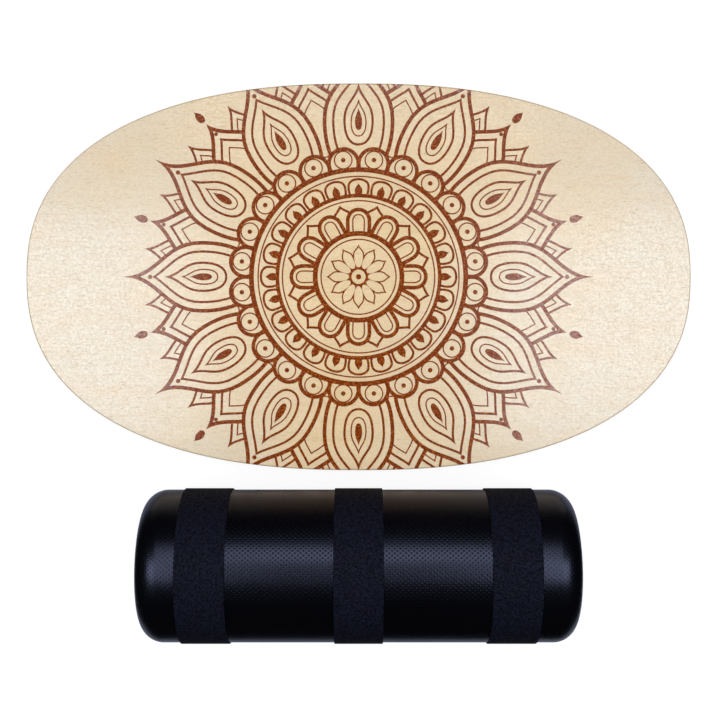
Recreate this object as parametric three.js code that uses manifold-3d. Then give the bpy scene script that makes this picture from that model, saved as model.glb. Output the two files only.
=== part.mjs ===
// A rola bola, or balance board: an oval plywood deck with two stops under it, laid flat beside its roller.
// Millimetres, +Z up. X runs along the deck and along the roller, and the set lies on the plane z = 0.
// The origin is on that plane, under the middle of the whole set.

import * as THREE from "three";
import { mergeVertices } from "three/addons/utils/BufferGeometryUtils.js";
import Module from "manifold-3d";

// Deck: veneers glued crosswise, with both edges rounded over.
const DECK_LENGTH = 740;
const DECK_WIDTH = 431;
const DECK_OUTLINE_POWER = 2.36;
const PLY_COUNT = 11;
const PLY_THICKNESS = 1.3;
const GLUE_LINE = 0.07;
const DECK_EDGE_RADIUS = 2;

// Stops: two hardwood battens across the underside that keep the roller from running out.
const STOP_LENGTH = 230;
const STOP_WIDTH = 26;
const STOP_HEIGHT = 20;
const STOP_INSET = 58;
const STOP_END_RADIUS = 9;
const STOP_EDGE_RADIUS = 4;
const STOP_SEAT_GAP = 0.1;

// Countersunk screws, driven up through each stop into the deck.
const SCREWS_PER_STOP = 3;
const SCREW_END_DISTANCE = 30;
const SCREW_LENGTH = 28;
const SCREW_HEAD_RADIUS = 4;
const SCREW_HEAD_RIM = 0.4;
const SCREW_SHANK_RADIUS = 2;
const SCREW_TIP_LENGTH = 5;
const SCREW_HEAD_SINK = 1;
const SCREW_CLEARANCE = 0.3;
const CROSS_RECESS_WIDTH = 1.1;
const CROSS_RECESS_SPAN = 4.6;
const CROSS_RECESS_DEPTH = 1.8;

// Roller shell: one blow-moulded plastic body with rounded ends.
const SHELL_RADIUS = 80;
const SHELL_LENGTH = 460;
const SHELL_WALL = 3.6;
const SHELL_CORNER_RADIUS = 25;
const DISH_RADIUS = 44;
const DISH_SLOPE_LENGTH = 8;
const DISH_DEPTH = 3;

// Plug that closes the hole left by the blowing pin.
const PLUG_HOLE_RADIUS = 8;
const PLUG_CLEARANCE = 0.3;
const PLUG_HEAD_OVERLAP = 3.5;
const PLUG_HEAD_THICKNESS = 1.8;
const PLUG_HEAD_ROUND = 0.9;
const PLUG_SHANK_LENGTH = 10;
const PLUG_BORE_RADIUS = 5;
const PLUG_BARB_HEIGHT = 0.9;
const PLUG_BARB_LENGTH = 2.4;

// Grip bands: three textile strips glued round the shell, their ends meeting at a butt joint.
const BAND_COUNT = 3;
const BAND_WIDTH = 51;
const BAND_THICKNESS = 1.4;
const BAND_END_DISTANCE = 43.5;
const BAND_GLUE_GAP = 0.1;
const BAND_EDGE_ROUND = 0.5;
const BAND_JOINT_GAP = 1.2;
const BAND_JOINT_BEARING = THREE.MathUtils.degToRad(145);

// How the two halves of the set lie beside each other.
const SET_GAP = 13.5;

// Fineness of the facets, in steps, and the overrun of a cut past the face that it goes through.
const OUTLINE_STEPS = 72;
const EDGE_STEPS = 3;
const ROUND_STEPS = 52;
const CORNER_STEPS = 6;
const SMALL_ROUND_STEPS = 12;
const PLUG_STEPS = 24;
const CUT_OVERRUN = 2;
const WELD = 1e-4;

// Sizes that follow from the ones above.
const PLY_PITCH = PLY_THICKNESS + GLUE_LINE;
const DECK_THICKNESS = PLY_COUNT * PLY_PITCH - GLUE_LINE;
const DECK_BOTTOM = STOP_HEIGHT + STOP_SEAT_GAP;
const STOP_X = DECK_LENGTH / 2 - STOP_INSET - STOP_WIDTH / 2;
const SCREW_PITCH = (STOP_LENGTH - 2 * SCREW_END_DISTANCE) / (SCREWS_PER_STOP - 1);
const BAND_INNER_RADIUS = SHELL_RADIUS + BAND_GLUE_GAP;
const BAND_OUTER_RADIUS = BAND_INNER_RADIUS + BAND_THICKNESS;
const BAND_PITCH = (SHELL_LENGTH - 2 * BAND_END_DISTANCE - BAND_WIDTH) / (BAND_COUNT - 1);
const SET_DEPTH = DECK_WIDTH + SET_GAP + 2 * BAND_OUTER_RADIUS;
const DECK_Y = (SET_DEPTH - DECK_WIDTH) / 2;
const ROLLER_Y = BAND_OUTER_RADIUS - SET_DEPTH / 2;
const QUARTER_TURN = Math.PI / 2;

const veneer = { face: 0xe3cfa9, long: 0xd9bd8c, cross: 0xb98f5c, back: 0xdcc79f };
const MATERIALS = {
  faceVeneer: new THREE.MeshStandardMaterial({ color: veneer.face, roughness: 0.45, metalness: 0 }),
  longGrainPly: new THREE.MeshStandardMaterial({ color: veneer.long, roughness: 0.7, metalness: 0 }),
  crossGrainPly: new THREE.MeshStandardMaterial({ color: veneer.cross, roughness: 0.75, metalness: 0 }),
  backVeneer: new THREE.MeshStandardMaterial({ color: veneer.back, roughness: 0.5, metalness: 0 }),
  stopWood: new THREE.MeshStandardMaterial({ color: 0xc9a673, roughness: 0.55, metalness: 0 }),
  screwSteel: new THREE.MeshStandardMaterial({ color: 0xb9b4a6, roughness: 0.35, metalness: 1 }),
  shellPlastic: new THREE.MeshStandardMaterial({ color: 0x0b0b0f, roughness: 0.38, metalness: 0 }),
  plugPlastic: new THREE.MeshStandardMaterial({ color: 0x111114, roughness: 0.5, metalness: 0 }),
  bandTextile: new THREE.MeshStandardMaterial({ color: 0x16171d, roughness: 0.95, metalness: 0 }),
};

const wasm = await Module();
wasm.setup();

// A closed geometry as a solid that can be cut and joined.
function solidOf(geometry) {
  const bare = geometry.clone();
  bare.deleteAttribute("normal");
  bare.deleteAttribute("uv");
  const merged = mergeVertices(bare, WELD);
  const mesh = new wasm.Mesh({
    numProp: 3,
    vertProperties: merged.attributes.position.array,
    triVerts: merged.index.array,
  });
  return new wasm.Manifold(mesh);
}

function geometryOf(solid) {
  const mesh = solid.getMesh();
  const geometry = new THREE.BufferGeometry();
  geometry.setAttribute("position", new THREE.BufferAttribute(mesh.vertProperties, mesh.numProp));
  geometry.setIndex(new THREE.BufferAttribute(mesh.triVerts, 1));
  geometry.computeVertexNormals();
  return geometry;
}

function namedMesh(name, geometry, material) {
  const mesh = new THREE.Mesh(geometry, material);
  mesh.name = name;
  return mesh;
}

// Points on a quarter circle, from angle `start` to `start + sweep`, as [across, along] pairs.
function arcPoints(across, along, radius, start, sweep, steps) {
  return Array.from({ length: steps + 1 }, (_, i) => {
    const angle = start + (sweep * i) / steps;
    return new THREE.Vector2(across + radius * Math.cos(angle), along + radius * Math.sin(angle));
  });
}

function rectangle(width, height) {
  return new THREE.Shape([
    new THREE.Vector2(-width / 2, -height / 2),
    new THREE.Vector2(width / 2, -height / 2),
    new THREE.Vector2(width / 2, height / 2),
    new THREE.Vector2(-width / 2, height / 2),
  ]);
}

function roundedRectangle(width, height, radius, steps) {
  const x = width / 2 - radius;
  const y = height / 2 - radius;
  return new THREE.Shape([
    ...arcPoints(x, y, radius, 0, QUARTER_TURN, steps),
    ...arcPoints(-x, y, radius, QUARTER_TURN, QUARTER_TURN, steps),
    ...arcPoints(-x, -y, radius, 2 * QUARTER_TURN, QUARTER_TURN, steps),
    ...arcPoints(x, -y, radius, 3 * QUARTER_TURN, QUARTER_TURN, steps),
  ]);
}

// The deck's oval, a little squarer than an ellipse: a superellipse of power DECK_OUTLINE_POWER.
function deckOutline() {
  const power = DECK_OUTLINE_POWER;
  return new THREE.Shape(
    Array.from({ length: OUTLINE_STEPS }, (_, i) => {
      const bearing = (2 * Math.PI * i) / OUTLINE_STEPS;
      const along = Math.cos(bearing);
      const across = Math.sin(bearing);
      const reach = (Math.abs(along) ** power + Math.abs(across) ** power) ** (-1 / power);
      return new THREE.Vector2((DECK_LENGTH / 2) * reach * along, (DECK_WIDTH / 2) * reach * across);
    }),
  );
}

// The pressed deck before its layers are told apart, standing on DECK_BOTTOM, with rounded edges.
function deckBlank() {
  const geometry = new THREE.ExtrudeGeometry(deckOutline(), {
    depth: DECK_THICKNESS - 2 * DECK_EDGE_RADIUS,
    bevelThickness: DECK_EDGE_RADIUS,
    bevelSize: DECK_EDGE_RADIUS,
    bevelOffset: -DECK_EDGE_RADIUS,
    bevelSegments: EDGE_STEPS,
  });
  geometry.translate(0, 0, DECK_BOTTOM + DECK_EDGE_RADIUS);
  return solidOf(geometry);
}

function screwPlaces() {
  const places = [];
  for (const side of [-1, 1])
    for (let i = 0; i < SCREWS_PER_STOP; i++)
      places.push({
        side,
        number: i + 1,
        x: side * STOP_X,
        y: (i - (SCREWS_PER_STOP - 1) / 2) * SCREW_PITCH,
      });
  return places;
}

// A screw's outline turned round its axis, grown all round by `clearance`, head down and standing on z = 0.
function screwBody(clearance, headDrop) {
  const head = SCREW_HEAD_RADIUS + clearance;
  const shank = SCREW_SHANK_RADIUS + clearance;
  const coneEnd = SCREW_HEAD_RIM + SCREW_HEAD_RADIUS - SCREW_SHANK_RADIUS;
  const geometry = new THREE.LatheGeometry(
    [
      new THREE.Vector2(0, -headDrop),
      new THREE.Vector2(head, -headDrop),
      new THREE.Vector2(head, SCREW_HEAD_RIM),
      new THREE.Vector2(shank, coneEnd),
      new THREE.Vector2(shank, SCREW_LENGTH - SCREW_TIP_LENGTH + clearance),
      new THREE.Vector2(0, SCREW_LENGTH + clearance),
    ],
    SMALL_ROUND_STEPS,
  );
  geometry.rotateX(QUARTER_TURN);
  return solidOf(geometry);
}

function crossRecess() {
  const height = CROSS_RECESS_DEPTH + CUT_OVERRUN;
  const wing = new THREE.BoxGeometry(CROSS_RECESS_SPAN, CROSS_RECESS_WIDTH, height);
  wing.translate(0, 0, CROSS_RECESS_DEPTH - height / 2);
  const turned = wing.clone().rotateZ(QUARTER_TURN);
  return solidOf(wing).add(solidOf(turned));
}

// All the holes that the screws need, in the board's frame.
function screwHoles() {
  const hole = screwBody(SCREW_CLEARANCE, SCREW_HEAD_SINK + CUT_OVERRUN);
  return screwPlaces()
    .map(({ x, y }) => hole.translate([x, y, SCREW_HEAD_SINK]))
    .reduce((all, one) => all.add(one));
}

function plyName(layer) {
  if (layer === 0) return "back_veneer";
  if (layer === PLY_COUNT - 1) return "face_veneer";
  return `ply_${String(PLY_COUNT - layer).padStart(2, "0")}`;
}

function plyMaterial(layer) {
  if (layer === 0) return MATERIALS.backVeneer;
  if (layer === PLY_COUNT - 1) return MATERIALS.faceVeneer;
  return layer % 2 ? MATERIALS.crossGrainPly : MATERIALS.longGrainPly;
}

// The deck's layers, numbered down from the face: each is a slice of the pressed blank.
function deckPlies(holes) {
  const blank = deckBlank();
  const reach = DECK_LENGTH + DECK_WIDTH;
  return Array.from({ length: PLY_COUNT }, (_, layer) => {
    const slab = new THREE.BoxGeometry(reach, reach, PLY_THICKNESS);
    slab.translate(0, 0, DECK_BOTTOM + layer * PLY_PITCH + PLY_THICKNESS / 2);
    const ply = blank.intersect(solidOf(slab)).subtract(holes);
    return namedMesh(plyName(layer), geometryOf(ply), plyMaterial(layer));
  });
}

// A stop: its plan has round corners, and its whole lower rim is rounded over. The rounding at the
// other end of the extrusion lies above the height at which the blank is cut.
function stopBlank() {
  const plan = roundedRectangle(STOP_WIDTH, STOP_LENGTH, STOP_END_RADIUS, CORNER_STEPS);
  const geometry = new THREE.ExtrudeGeometry(plan, {
    depth: STOP_HEIGHT,
    bevelThickness: STOP_EDGE_RADIUS,
    bevelSize: STOP_EDGE_RADIUS,
    bevelOffset: -STOP_EDGE_RADIUS,
    bevelSegments: EDGE_STEPS,
  });
  geometry.translate(0, 0, STOP_EDGE_RADIUS);
  const slab = new THREE.BoxGeometry(STOP_LENGTH, STOP_LENGTH, STOP_HEIGHT);
  slab.translate(0, 0, STOP_HEIGHT / 2);
  return solidOf(geometry).intersect(solidOf(slab));
}

function board() {
  const group = new THREE.Group();
  const holes = screwHoles();
  const blank = stopBlank();
  const screw = geometryOf(screwBody(0, 0).subtract(crossRecess()));
  group.add(...deckPlies(holes));
  for (const side of [-1, 1]) {
    const stop = blank.translate([side * STOP_X, 0, 0]).subtract(holes);
    group.add(namedMesh(`stop_${sideName(side)}`, geometryOf(stop), MATERIALS.stopWood));
  }
  for (const { side, number, x, y } of screwPlaces()) {
    const mesh = namedMesh(`stop_screw_${sideName(side)}_${number}`, screw, MATERIALS.screwSteel);
    mesh.position.set(x, y, SCREW_HEAD_SINK);
    group.add(mesh);
  }
  group.position.y = DECK_Y;
  return group;
}

function sideName(side) {
  return side < 0 ? "left" : side > 0 ? "right" : "middle";
}

// A closed outline of [radius, along] points turned round the roller's axis. The facets' flats, not
// their corners, lie at the stated radii, so that the roller stands on a flat at its true height.
function turned(points, steps) {
  const growth = 1 / Math.cos(Math.PI / steps);
  const grown = points.map((p) => new THREE.Vector2(p.x * growth, p.y));
  const geometry = new THREE.LatheGeometry(grown, steps, Math.PI / steps);
  geometry.rotateZ(-QUARTER_TURN);
  return solidOf(geometry);
}

// One wall surface of the shell, `inset` inside its skin, from the middle of the far end to the hole.
function shellLine(inset) {
  const end = SHELL_LENGTH / 2;
  const corner = SHELL_CORNER_RADIUS - inset;
  const centre = new THREE.Vector2(SHELL_RADIUS - SHELL_CORNER_RADIUS, end - SHELL_CORNER_RADIUS);
  const floor = end - DISH_DEPTH - inset;
  const rim = end - inset;
  const far = [
    new THREE.Vector2(0, floor),
    new THREE.Vector2(DISH_RADIUS - DISH_SLOPE_LENGTH, floor),
    new THREE.Vector2(DISH_RADIUS, rim),
    ...arcPoints(centre.x, centre.y, corner, QUARTER_TURN, -QUARTER_TURN, CORNER_STEPS),
  ];
  const near = far.slice(1).map((p) => new THREE.Vector2(p.x, -p.y));
  return [...far, ...near.reverse(), new THREE.Vector2(PLUG_HOLE_RADIUS, -floor)];
}

function rollerShell() {
  const profile = [...shellLine(SHELL_WALL), ...shellLine(0).reverse()];
  return namedMesh("roller_shell", geometryOf(turned(profile, ROUND_STEPS)), MATERIALS.shellPlastic);
}

// The hollow plug, head outwards, sprung into the hole at the left end by its barb.
function rollerPlug() {
  const seat = DISH_DEPTH - SHELL_LENGTH / 2;
  const headRadius = PLUG_HOLE_RADIUS + PLUG_HEAD_OVERLAP;
  const shank = PLUG_HOLE_RADIUS - PLUG_CLEARANCE;
  const headSeat = seat - PLUG_CLEARANCE;
  const headFace = headSeat - PLUG_HEAD_THICKNESS;
  const barbStart = seat + SHELL_WALL + PLUG_CLEARANCE;
  const shankEnd = seat + PLUG_SHANK_LENGTH;
  const profile = [
    new THREE.Vector2(0, headFace),
    new THREE.Vector2(headRadius - PLUG_HEAD_ROUND, headFace),
    new THREE.Vector2(headRadius, headFace + PLUG_HEAD_ROUND),
    new THREE.Vector2(headRadius, headSeat),
    new THREE.Vector2(shank, headSeat),
    new THREE.Vector2(shank, barbStart),
    new THREE.Vector2(shank + PLUG_BARB_HEIGHT, barbStart),
    new THREE.Vector2(shank, barbStart + PLUG_BARB_LENGTH),
    new THREE.Vector2(shank, shankEnd),
    new THREE.Vector2(PLUG_BORE_RADIUS, shankEnd),
    new THREE.Vector2(PLUG_BORE_RADIUS, headSeat),
    new THREE.Vector2(0, headSeat),
  ];
  return namedMesh("roller_plug", geometryOf(turned(profile, PLUG_STEPS)), MATERIALS.plugPlastic);
}

// A strip wrapped once round the shell: a full ring, less the narrow gap where its two ends meet,
// which lies at BAND_JOINT_BEARING from the top, low on the side towards the deck.
function gripBand(name, along) {
  const half = BAND_WIDTH / 2;
  const skin = BAND_OUTER_RADIUS - BAND_EDGE_ROUND;
  const ring = turned(
    [
      new THREE.Vector2(BAND_INNER_RADIUS, -half),
      new THREE.Vector2(skin, -half),
      new THREE.Vector2(BAND_OUTER_RADIUS, BAND_EDGE_ROUND - half),
      new THREE.Vector2(BAND_OUTER_RADIUS, half - BAND_EDGE_ROUND),
      new THREE.Vector2(skin, half),
      new THREE.Vector2(BAND_INNER_RADIUS, half),
      new THREE.Vector2(BAND_INNER_RADIUS, -half),
    ],
    ROUND_STEPS,
  );
  const joint = new THREE.ExtrudeGeometry(rectangle(BAND_WIDTH + CUT_OVERRUN, BAND_JOINT_GAP), {
    depth: BAND_OUTER_RADIUS + CUT_OVERRUN,
    bevelEnabled: false,
  });
  joint.rotateX(-BAND_JOINT_BEARING);
  const mesh = namedMesh(name, geometryOf(ring.subtract(solidOf(joint))), MATERIALS.bandTextile);
  mesh.position.x = along;
  return mesh;
}

function roller() {
  const group = new THREE.Group();
  group.add(rollerShell(), rollerPlug());
  for (let i = 0; i < BAND_COUNT; i++) {
    const place = i - (BAND_COUNT - 1) / 2;
    group.add(gripBand(`grip_band_${sideName(place)}`, place * BAND_PITCH));
  }
  group.position.set(0, ROLLER_Y, BAND_OUTER_RADIUS);
  return group;
}

const rolaBola = new THREE.Group();
rolaBola.add(board(), roller());

export default rolaBola;
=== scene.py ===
"""A rola bola: an oval plywood balance board with a printed face, laid beside its roller.

Metres, +Z up. X runs along the board and along the roller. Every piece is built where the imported
frame says, and moves with the frame's body that carries it.
"""

import math

import bmesh
import bpy
from bmesh.types import BMEdge, BMVert
from bpy.props import FloatProperty, FloatVectorProperty, IntProperty, PointerProperty
from mathutils import Matrix, Vector
from mathutils.geometry import delaunay_2d_cdt, interpolate_bezier


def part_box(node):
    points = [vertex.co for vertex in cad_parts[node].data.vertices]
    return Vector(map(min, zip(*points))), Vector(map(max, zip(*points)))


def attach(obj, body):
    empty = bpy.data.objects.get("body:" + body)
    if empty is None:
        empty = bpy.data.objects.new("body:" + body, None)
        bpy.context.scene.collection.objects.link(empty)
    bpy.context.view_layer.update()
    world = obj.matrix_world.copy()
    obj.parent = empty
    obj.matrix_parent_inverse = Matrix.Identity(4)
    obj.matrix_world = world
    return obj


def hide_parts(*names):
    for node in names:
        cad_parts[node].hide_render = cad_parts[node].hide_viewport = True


bl_info = {
    "name": "Rola bola",
    "version": (1, 0, 0),
    "blender": (4, 5, 0),
    "location": "View3D > Sidebar > Rola bola",
    "description": "Builds an oval balance board with a printed face, and its roller",
    "category": "Object",
}

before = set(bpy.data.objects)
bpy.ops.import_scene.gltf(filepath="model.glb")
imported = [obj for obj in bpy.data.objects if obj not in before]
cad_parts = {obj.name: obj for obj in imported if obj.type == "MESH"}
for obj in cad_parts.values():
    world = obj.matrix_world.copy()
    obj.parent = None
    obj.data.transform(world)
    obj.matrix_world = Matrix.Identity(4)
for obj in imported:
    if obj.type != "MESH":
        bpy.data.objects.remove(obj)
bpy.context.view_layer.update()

MM = 0.001
FULL_TURN = 2 * math.pi
QUARTER_TURN = math.pi / 2
TINY = 1e-6
WHITE = (1, 1, 1, 1)

# The least height between two rings of points, and the normal's height that makes a face level.
LEVEL_GAP = 0.01 * MM
LEVEL_NORMAL = 0.999

# Places that follow from the frame.
PLY_COUNT = sum(name.startswith("ply_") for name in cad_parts) + 2
DECK_LOW, DECK_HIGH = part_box("ply_06")
DECK_CENTRE = (DECK_LOW + DECK_HIGH) / 2
DECK_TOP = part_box("face_veneer")[1].z
DECK_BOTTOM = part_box("back_veneer")[0].z
DECK_HALF_LENGTH = (DECK_HIGH.x - DECK_LOW.x) / 2
DECK_HALF_WIDTH = (DECK_HIGH.y - DECK_LOW.y) / 2
SHELL_LOW, SHELL_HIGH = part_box("roller_shell")
ROLLER_CENTRE = (SHELL_LOW + SHELL_HIGH) / 2
SHELL_HALF_LENGTH = (SHELL_HIGH.x - SHELL_LOW.x) / 2
SHELL_RADIUS = (SHELL_HIGH.z - SHELL_LOW.z) / 2
BAND_LOW, BAND_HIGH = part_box("grip_band_middle")
BAND_RADIUS = (BAND_HIGH.z - BAND_LOW.z) / 2
SCREW_NODES = sorted(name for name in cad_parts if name.startswith("stop_screw_"))
SIDES = ("left", "right")
BAND_NAMES = ("left", "middle", "right")

# Steps in round forms that a user has no need to change.
SMALL_ROUND_STEPS = 48
PLUG_STEPS = 64
BAND_STEPS = 180


def shade(red, green, blue):
    """A colour, written from 0 to 255 as it shows on a screen, in Blender's linear values."""
    def linear(part):
        part /= 255
        return part / 12.92 if part <= 0.04045 else ((part + 0.055) / 1.055) ** 2.4
    return linear(red), linear(green), linear(blue), 1.0


def toned(colour, share):
    """A colour made darker, or lighter, by a share."""
    return tuple(part * share for part in colour[:3]) + (1.0,)


def length_property(name, description, millimetres, low=0.0, high=15000.0):
    return FloatProperty(
        name=name, description=description, default=millimetres * MM, min=low * MM, max=high * MM,
        precision=4, subtype="DISTANCE", unit="LENGTH",
    )


def colour_property(name, description, *screen_parts):
    return FloatVectorProperty(
        name=name, description=description, default=shade(*screen_parts), size=4,
        min=0.0, max=1.0, subtype="COLOR",
    )


def share_property(name, description, default):
    return FloatProperty(
        name=name, description=description, default=default, min=0.0, max=1.0, subtype="FACTOR",
    )


def power_property(name, description, watts):
    return FloatProperty(
        name=name, description=description, default=watts, min=0.0, max=1000.0,
        subtype="POWER", unit="POWER",
    )


def count_property(name, description, default, low, high):
    return IntProperty(name=name, description=description, default=default, min=low, max=high)


class DeckSettings(bpy.types.PropertyGroup):
    outline_power: FloatProperty(
        name="Outline power", description="2 is an ellipse, and more is squarer",
        default=2.36, min=2.0, max=6.0,
    )
    outline_steps: count_property("Outline steps", "Points round the oval", 360, 48, 720)
    edge_radius: length_property("Edge radius", "Rounding of both edges of the deck", 2.0, 0.2, 7.0)
    edge_steps: count_property("Edge steps", "Steps in the rounding of an edge", 6, 2, 16)
    pale_veneer: colour_property("Pale veneer", "Lightest tone of the outer veneers", 242, 215, 171)
    deep_veneer: colour_property("Deep veneer", "Darkest streaks of the outer veneers", 225, 196, 148)
    flushed_veneer: colour_property("Flushed veneer", "Pinkish streaks of the veneers", 230, 202, 170)
    # Painted glare: a paler, greyer veneer colour towards the board's ends.
    end_glare_veneer: colour_property("Painted end glare", "Greyer tone towards the board's ends", 226, 216, 197)
    # Painted shade: a darker, duller veneer colour along the board's far edge, where the light falls off.
    far_shade_veneer: colour_property("Painted far shade", "Duller tone along the board's far edge", 206, 182, 140)
    pore: colour_property("Pores", "Fine pores and grit in the outer veneers", 182, 154, 124)
    rim: colour_property("Rim", "Sanded and sealed edge of the outer veneers", 176, 152, 118)
    long_ply: colour_property("Long plies", "Layers with their grain along the board", 240, 214, 168)
    cross_ply: colour_property("Cross plies", "Layers with their grain across it", 204, 158, 104)


class PrintSettings(bpy.types.PropertyGroup):
    radius: length_property("Radius", "Outer radius of the rosette", 262, 50, 600)
    edge_margin: length_property("Edge margin", "Bare rim between the print and the outline", 0.7)
    thickness: length_property("Film thickness", "How far the ink stands proud", 0.05, 0.01, 1)
    sink: length_property("Film sink", "How far the ink soaks into the veneer", 0.03, 0.0, 1)
    thin: length_property("Thin line", "Width of the finest lines", 1.5, 0.2, 20)
    medium: length_property("Medium line", "Width of the inner lines", 2.6, 0.2, 20)
    bold: length_property("Bold line", "Width of the outlines", 4.2, 0.2, 20)
    heavy: length_property("Heavy line", "Width of the main rings", 5.4, 0.2, 20)
    ink: colour_property("Ink", "Full tone of the ink", 112, 42, 3)
    thin_ink: colour_property("Thin ink", "Ink where the film is thin over the pores", 168, 88, 30)


class StopSettings(bpy.types.PropertyGroup):
    end_radius: length_property("End radius", "Rounding of the stops in plan", 9, 1, 12)
    edge_radius: length_property("Edge radius", "Rounding of the stops' lower rim", 4, 0.5, 8)
    pale_wood: colour_property("Pale wood", "Lighter tone of the stops", 214, 176, 124)
    deep_wood: colour_property("Deep wood", "Darker streaks of the stops", 178, 134, 84)


class ScrewSettings(bpy.types.PropertyGroup):
    head_rim: length_property("Head rim", "Height of the head's straight rim", 0.4, 0.1, 2)
    head_chamfer: length_property("Head chamfer", "Broken edge round the head", 0.15, 0.0, 0.3)
    shank_radius: length_property("Thread radius", "Outer radius of the thread", 2, 0.5, 3)
    core_radius: length_property("Core radius", "Radius between the threads", 1.35, 0.3, 3)
    thread_pitch: length_property("Thread pitch", "Distance from one turn to the next", 1.8, 0.5, 4)
    tip_length: length_property("Tip length", "Length of the point", 5, 1, 10)
    smooth_length: length_property("Smooth length", "Bare shank under the head", 6, 0, 20)
    recess_span: length_property("Recess span", "Length of the cross recess", 4.6, 1, 7)
    recess_width: length_property("Recess width", "Width of the cross recess", 1.1, 0.3, 3)
    recess_depth: length_property("Recess depth", "Depth of the cross recess", 1.8, 0.3, 4)
    recess_taper: share_property("Recess taper", "Size of its floor, as a share of its mouth", 0.5)
    hole_clearance: length_property("Hole clearance", "Room round a screw in its hole", 0.3, 0, 1)
    steel: colour_property("Steel", "Zinc-plated steel", 196, 190, 176)


class RollerSettings(bpy.types.PropertyGroup):
    wall: length_property("Wall", "Thickness of the moulded wall", 3.6, 1, 10)
    corner_radius: length_property("Corner radius", "Rounding of the ends", 25, 2, 60)
    dish_radius: length_property("Dish radius", "Rim of the hollow in each end", 44, 5, 54)
    dish_slope: length_property("Dish slope", "Width of the slope round the hollow's floor", 8, 1, 30)
    dish_depth: length_property("Dish depth", "Depth of the hollow in each end", 3, 0.5, 20)
    turn_steps: count_property("Turn steps", "Steps round the roller", 192, 24, 360)
    pit_pitch: length_property("Pit pitch", "Distance between pits of one row", 5.6, 1, 30)
    pit_rows: count_property("Pit rows", "Rows of pits round the roller", 104, 8, 400)
    pit_depth: length_property("Pit depth", "Depth of the moulded pits", 0.12, 0, 2)
    plastic: colour_property("Plastic", "Black moulded plastic", 3, 3, 5)
    plug_head: length_property("Plug head", "Thickness of the plug's head", 1.8, 0.5, 5)
    plug_head_round: length_property("Plug head rounding", "Rounding of its rim", 0.9, 0.1, 3)
    plug_dimple: length_property("Plug dimple", "Depth of the hollow in the plug's head", 0.3, 0.0, 1)
    plug_hole_radius: length_property("Plug hole", "Radius of the hole that it closes", 8, 2, 20)
    plug_clearance: length_property("Plug clearance", "Room round the plug's shank", 0.3, 0.0, 1)
    plug_bore_radius: length_property("Plug bore", "Radius of the hollow shank's bore", 5, 1, 15)
    plug_barb_height: length_property("Barb height", "How far the barb stands out", 0.9, 0.1, 3)
    plug_barb_length: length_property("Barb length", "Length of the plug's barb", 2.4, 0.5, 6)


class BandSettings(bpy.types.PropertyGroup):
    thickness: length_property("Thickness", "Thickness of the grip bands", 1.4, 0.3, 5)
    edge_round: length_property("Edge rounding", "Rounding of the bands' edges", 0.5, 0.1, 2)
    joint_gap: length_property("Joint gap", "Gap where the ends of a band meet", 1.2, 0.2, 10)
    joint_bearing: FloatProperty(
        name="Joint bearing", description="Where the ends meet, from the top towards the board",
        default=math.radians(145), subtype="ANGLE", unit="ROTATION",
    )
    thread_pitch: length_property("Thread pitch", "Distance between the cloth's threads", 2.1, 0.3, 10)
    cloth: colour_property("Cloth", "Raised threads of the textile", 20, 23, 39)
    # Darker in the hollows: partly the cloth's own mottled tone, partly painted shade in the hollows.
    hollow: colour_property("Hollows", "Hollows between the threads", 5, 5, 11)


class StageSettings(bpy.types.PropertyGroup):
    camera_height: length_property("Camera height", "Height of the camera over the floor", 1337)
    camera_y: length_property("Camera place", "Its place across the board", 53.5, -2000, 2000)
    lens: FloatProperty(
        name="Lens", description="Focal length in millimetres", default=58.485, min=10, max=200,
    )
    shift_x: FloatProperty(
        name="Shift across", description="Shift of the frame, in frame widths", default=0.002,
    )
    shift_y: FloatProperty(
        name="Shift up", description="Shift of the frame, in frame widths", default=-0.0722,
    )
    softbox_height: length_property("Softbox height", "Height of the two side lamps", 2200)
    softbox_width: length_property("Softbox width", "Size of a side lamp along the board", 1900)
    softbox_length: length_property("Softbox length", "Size of a side lamp across it", 1100)
    softbox_gap: length_property("Softbox gap", "Free width between the two side lamps", 1000)
    softbox_x: length_property("Gap place", "Middle of the gap, along the board", -50, -3000, 3000)
    softbox_y: length_property("Softbox place", "Place across the board", -100, -3000, 3000)
    softbox_watts: power_property("Softbox power", "Power of each side lamp", 29.5)
    overhead_height: length_property("Overhead height", "Height of the overhead lamp", 6000)
    overhead_width: length_property("Overhead width", "Its size along the board", 3000)
    overhead_length: length_property("Overhead length", "Its size across the board", 3000)
    overhead_y: length_property("Overhead place", "Its place across the board", 3000, -6000, 6000)
    overhead_watts: power_property("Overhead power", "Power of the overhead lamp", 115)
    lamp_colour: colour_property("Lamp colour", "Light of the lamps", 246, 250, 255)
    fill: share_property("Fill", "Level of the plain light from all round", 0.34)
    floor_size: length_property("Floor size", "Length of each side of the floor", 14000)
    floor_tone: colour_property("Floor", "The floor's own colour", 120, 120, 120)
    floor_glow: share_property("Floor glow", "Its own white where the lamps add theirs", 0.86)
    glow_start: length_property("Glow start", "How far from the set the glow starts to grow", 1000)
    glow_end: length_property("Glow end", "How far from the set the glow is full", 4500)
    card_reach: length_property("Card reach", "Distance of the dark cards from the set", 6000)
    card_lift: length_property("Card lift", "Height of the lowest card over the floor", 0.2, 0.1, 1)
    card_margin: length_property("Card margin", "Reach of the pale card past the roller", 120)
    dark_card: colour_property("Dark card", "Tone of the cards round the set", 20, 20, 24)
    pale_card: colour_property("Pale card", "Tone of the card under the roller", 160, 164, 180)


class RolaBolaSettings(bpy.types.PropertyGroup):
    deck: PointerProperty(type=DeckSettings)
    rosette: PointerProperty(type=PrintSettings)
    stops: PointerProperty(type=StopSettings)
    screws: PointerProperty(type=ScrewSettings)
    roller: PointerProperty(type=RollerSettings)
    bands: PointerProperty(type=BandSettings)
    stage: PointerProperty(type=StageSettings)


def settings():
    return bpy.context.scene.rola_bola


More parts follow.
